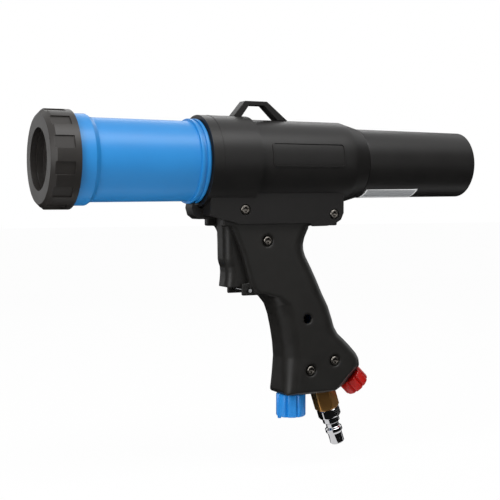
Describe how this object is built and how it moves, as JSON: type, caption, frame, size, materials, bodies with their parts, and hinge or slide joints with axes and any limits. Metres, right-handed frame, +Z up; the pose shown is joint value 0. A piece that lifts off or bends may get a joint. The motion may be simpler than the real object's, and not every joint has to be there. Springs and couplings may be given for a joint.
{
  "type": "caulking gun",
  "caption": "Pneumatic cartridge caulking gun: blue barrel with screw-on ring nut, hanging loop, pistol grip with long trigger, pressure and flow knobs and a quick-connect air plug.",
  "frame": {"origin": "centre of the ring nut's mouth, in the plane of its front face", "axes": "+X back along the barrel, +Y to the gun's right side, +Z up; the handle hangs towards -Z"},
  "size_m": [0.329, 0.0656, 0.2502],
  "materials": {
    "black_nylon": "moulded, fine satin",
    "blue_paint": "satin blue coating",
    "black_plastic": "fine satin grain",
    "grip_plastic": "fine satin grain",
    "bush_plastic": "natural acetal",
    "aluminium": "turned",
    "seal_rubber": "smooth",
    "steel": "zinc plated",
    "screw_steel": "nickel plated",
    "brass": "machined",
    "hose": "smooth",
    "blue_knob": "semi-gloss moulded",
    "red_knob": "semi-gloss moulded",
    "chrome": "polished nickel",
    "label": "printed foil with no text"
  },
  "bodies": {
    "frame": {"housing": "black_plastic", "hanger_loop": "black_plastic", "rear_cylinder": "black_plastic", "cylinder_bush": "bush_plastic", "grip_left": "grip_plastic", "grip_right": "grip_plastic", "lug_pin": "steel", "trigger_pin": "steel", "valve_body": "brass", "valve_cap": "brass", "valve_spring": "steel", "hose_barbs": "brass", "drive_hose": "hose", "supply_hose": "hose", "regulator_body": "brass", "regulator_spring": "steel", "flow_valve_body": "brass", "inlet_fitting": "brass", "inlet_plug": "chrome", "air_manifold": "aluminium", "housing_screws": "screw_steel", "grip_screws": "screw_steel", "latch_pin": "steel", "latch_spring": "steel", "rating_label": "label"},
    "barrel": {"barrel": "blue_paint"},
    "nozzle_ring": {"nozzle_ring": "black_nylon"},
    "ring_nut": {"ring_nut": "black_nylon"},
    "piston_stage_one": {"piston_stage_one": "aluminium", "piston_stage_one_seal": "seal_rubber"},
    "piston_stage_two": {"piston_stage_two": "aluminium", "piston_stage_two_seal": "seal_rubber"},
    "piston_rod": {"piston_rod": "aluminium", "piston_rod_seal": "seal_rubber", "push_plate": "bush_plastic", "push_plate_screw": "steel"},
    "trigger": {"trigger": "grip_plastic"},
    "valve_stem": {"valve_stem": "steel", "valve_seal": "seal_rubber"},
    "regulator_knob": {"regulator_knob": "blue_knob", "regulator_screw": "steel"},
    "regulator_plate": {"regulator_plate": "steel"},
    "flow_knob": {"flow_knob": "red_knob"},
    "flow_needle": {"flow_needle": "steel"},
    "barrel_latch": {"barrel_latch": "grip_plastic"}
  },
  "joints": [
    {"name": "barrel_turn", "type": "hinge", "parent": "frame", "child": "barrel", "pos_m": [0.11, 0, 0], "axis": [1, 0, 0], "continuous": true},
    {"name": "nozzle_ring_slide", "type": "slide", "parent": "barrel", "child": "nozzle_ring", "axis": [-1, 0, 0], "range_m": [0, 0.012]},
    {"name": "ring_nut_turn", "type": "hinge", "parent": "nozzle_ring", "child": "ring_nut", "pos_m": [0, 0, 0], "axis": [-1, 0, 0], "range_deg": [0, 1440]},
    {"name": "stage_one_slide", "type": "slide", "parent": "frame", "child": "piston_stage_one", "axis": [-1, 0, 0], "range_m": [0, 0.066]},
    {"name": "stage_two_slide", "type": "slide", "parent": "piston_stage_one", "child": "piston_stage_two", "axis": [-1, 0, 0], "range_m": [0, 0.066]},
    {"name": "rod_slide", "type": "slide", "parent": "piston_stage_two", "child": "piston_rod", "axis": [-1, 0, 0], "range_m": [0, 0.066]},
    {"name": "trigger_pull", "type": "hinge", "parent": "frame", "child": "trigger", "pos_m": [0.132, 0, -0.0382], "axis": [0, -1, 0], "range_deg": [0, 8], "stiffness_Nm_per_rad": 0.6, "springref_deg": -8.59},
    {"name": "valve_stem_slide", "type": "slide", "parent": "frame", "child": "valve_stem", "axis": [1, 0, 0], "range_m": [0, 0.005], "deforming": ["valve_spring"]},
    {"name": "regulator_turn", "type": "hinge", "parent": "frame", "child": "regulator_knob", "pos_m": [0.185, 0, -0.1656], "axis": [0, 0, -1], "range_deg": [0, 720]},
    {"name": "regulator_plate_slide", "type": "slide", "parent": "frame", "child": "regulator_plate", "axis": [0, 0, 1], "range_m": [0, 0.002], "deforming": ["regulator_spring"]},
    {"name": "flow_turn", "type": "hinge", "parent": "frame", "child": "flow_knob", "pos_m": [0.2326, 0, -0.1562], "axis": [0.7071, 0, -0.7071], "range_deg": [0, 720]},
    {"name": "flow_needle_slide", "type": "slide", "parent": "frame", "child": "flow_needle", "axis": [0.7071, 0, -0.7071], "range_m": [0, 0.002]},
    {"name": "latch_swing", "type": "hinge", "parent": "frame", "child": "barrel_latch", "pos_m": [0.118, 0, -0.0356], "axis": [0, -1, 0], "range_deg": [0, 10], "stiffness_Nm_per_rad": 0.05, "springref_deg": -17.19, "deforming": ["latch_spring"]}
  ],
  "couplings": [
    {"joint": "nozzle_ring_slide", "follows": "ring_nut_turn", "m_per_rad": 0.00047746},
    {"joint": "stage_two_slide", "follows": "stage_one_slide", "ratio": 1},
    {"joint": "rod_slide", "follows": "stage_one_slide", "ratio": 1},
    {"joint": "valve_stem_slide", "follows": "trigger_pull", "m_per_rad": 0.032},
    {"joint": "regulator_plate_slide", "follows": "regulator_turn", "m_per_rad": 0.00015915},
    {"joint": "flow_needle_slide", "follows": "flow_turn", "m_per_rad": 0.00015915}
  ]
}
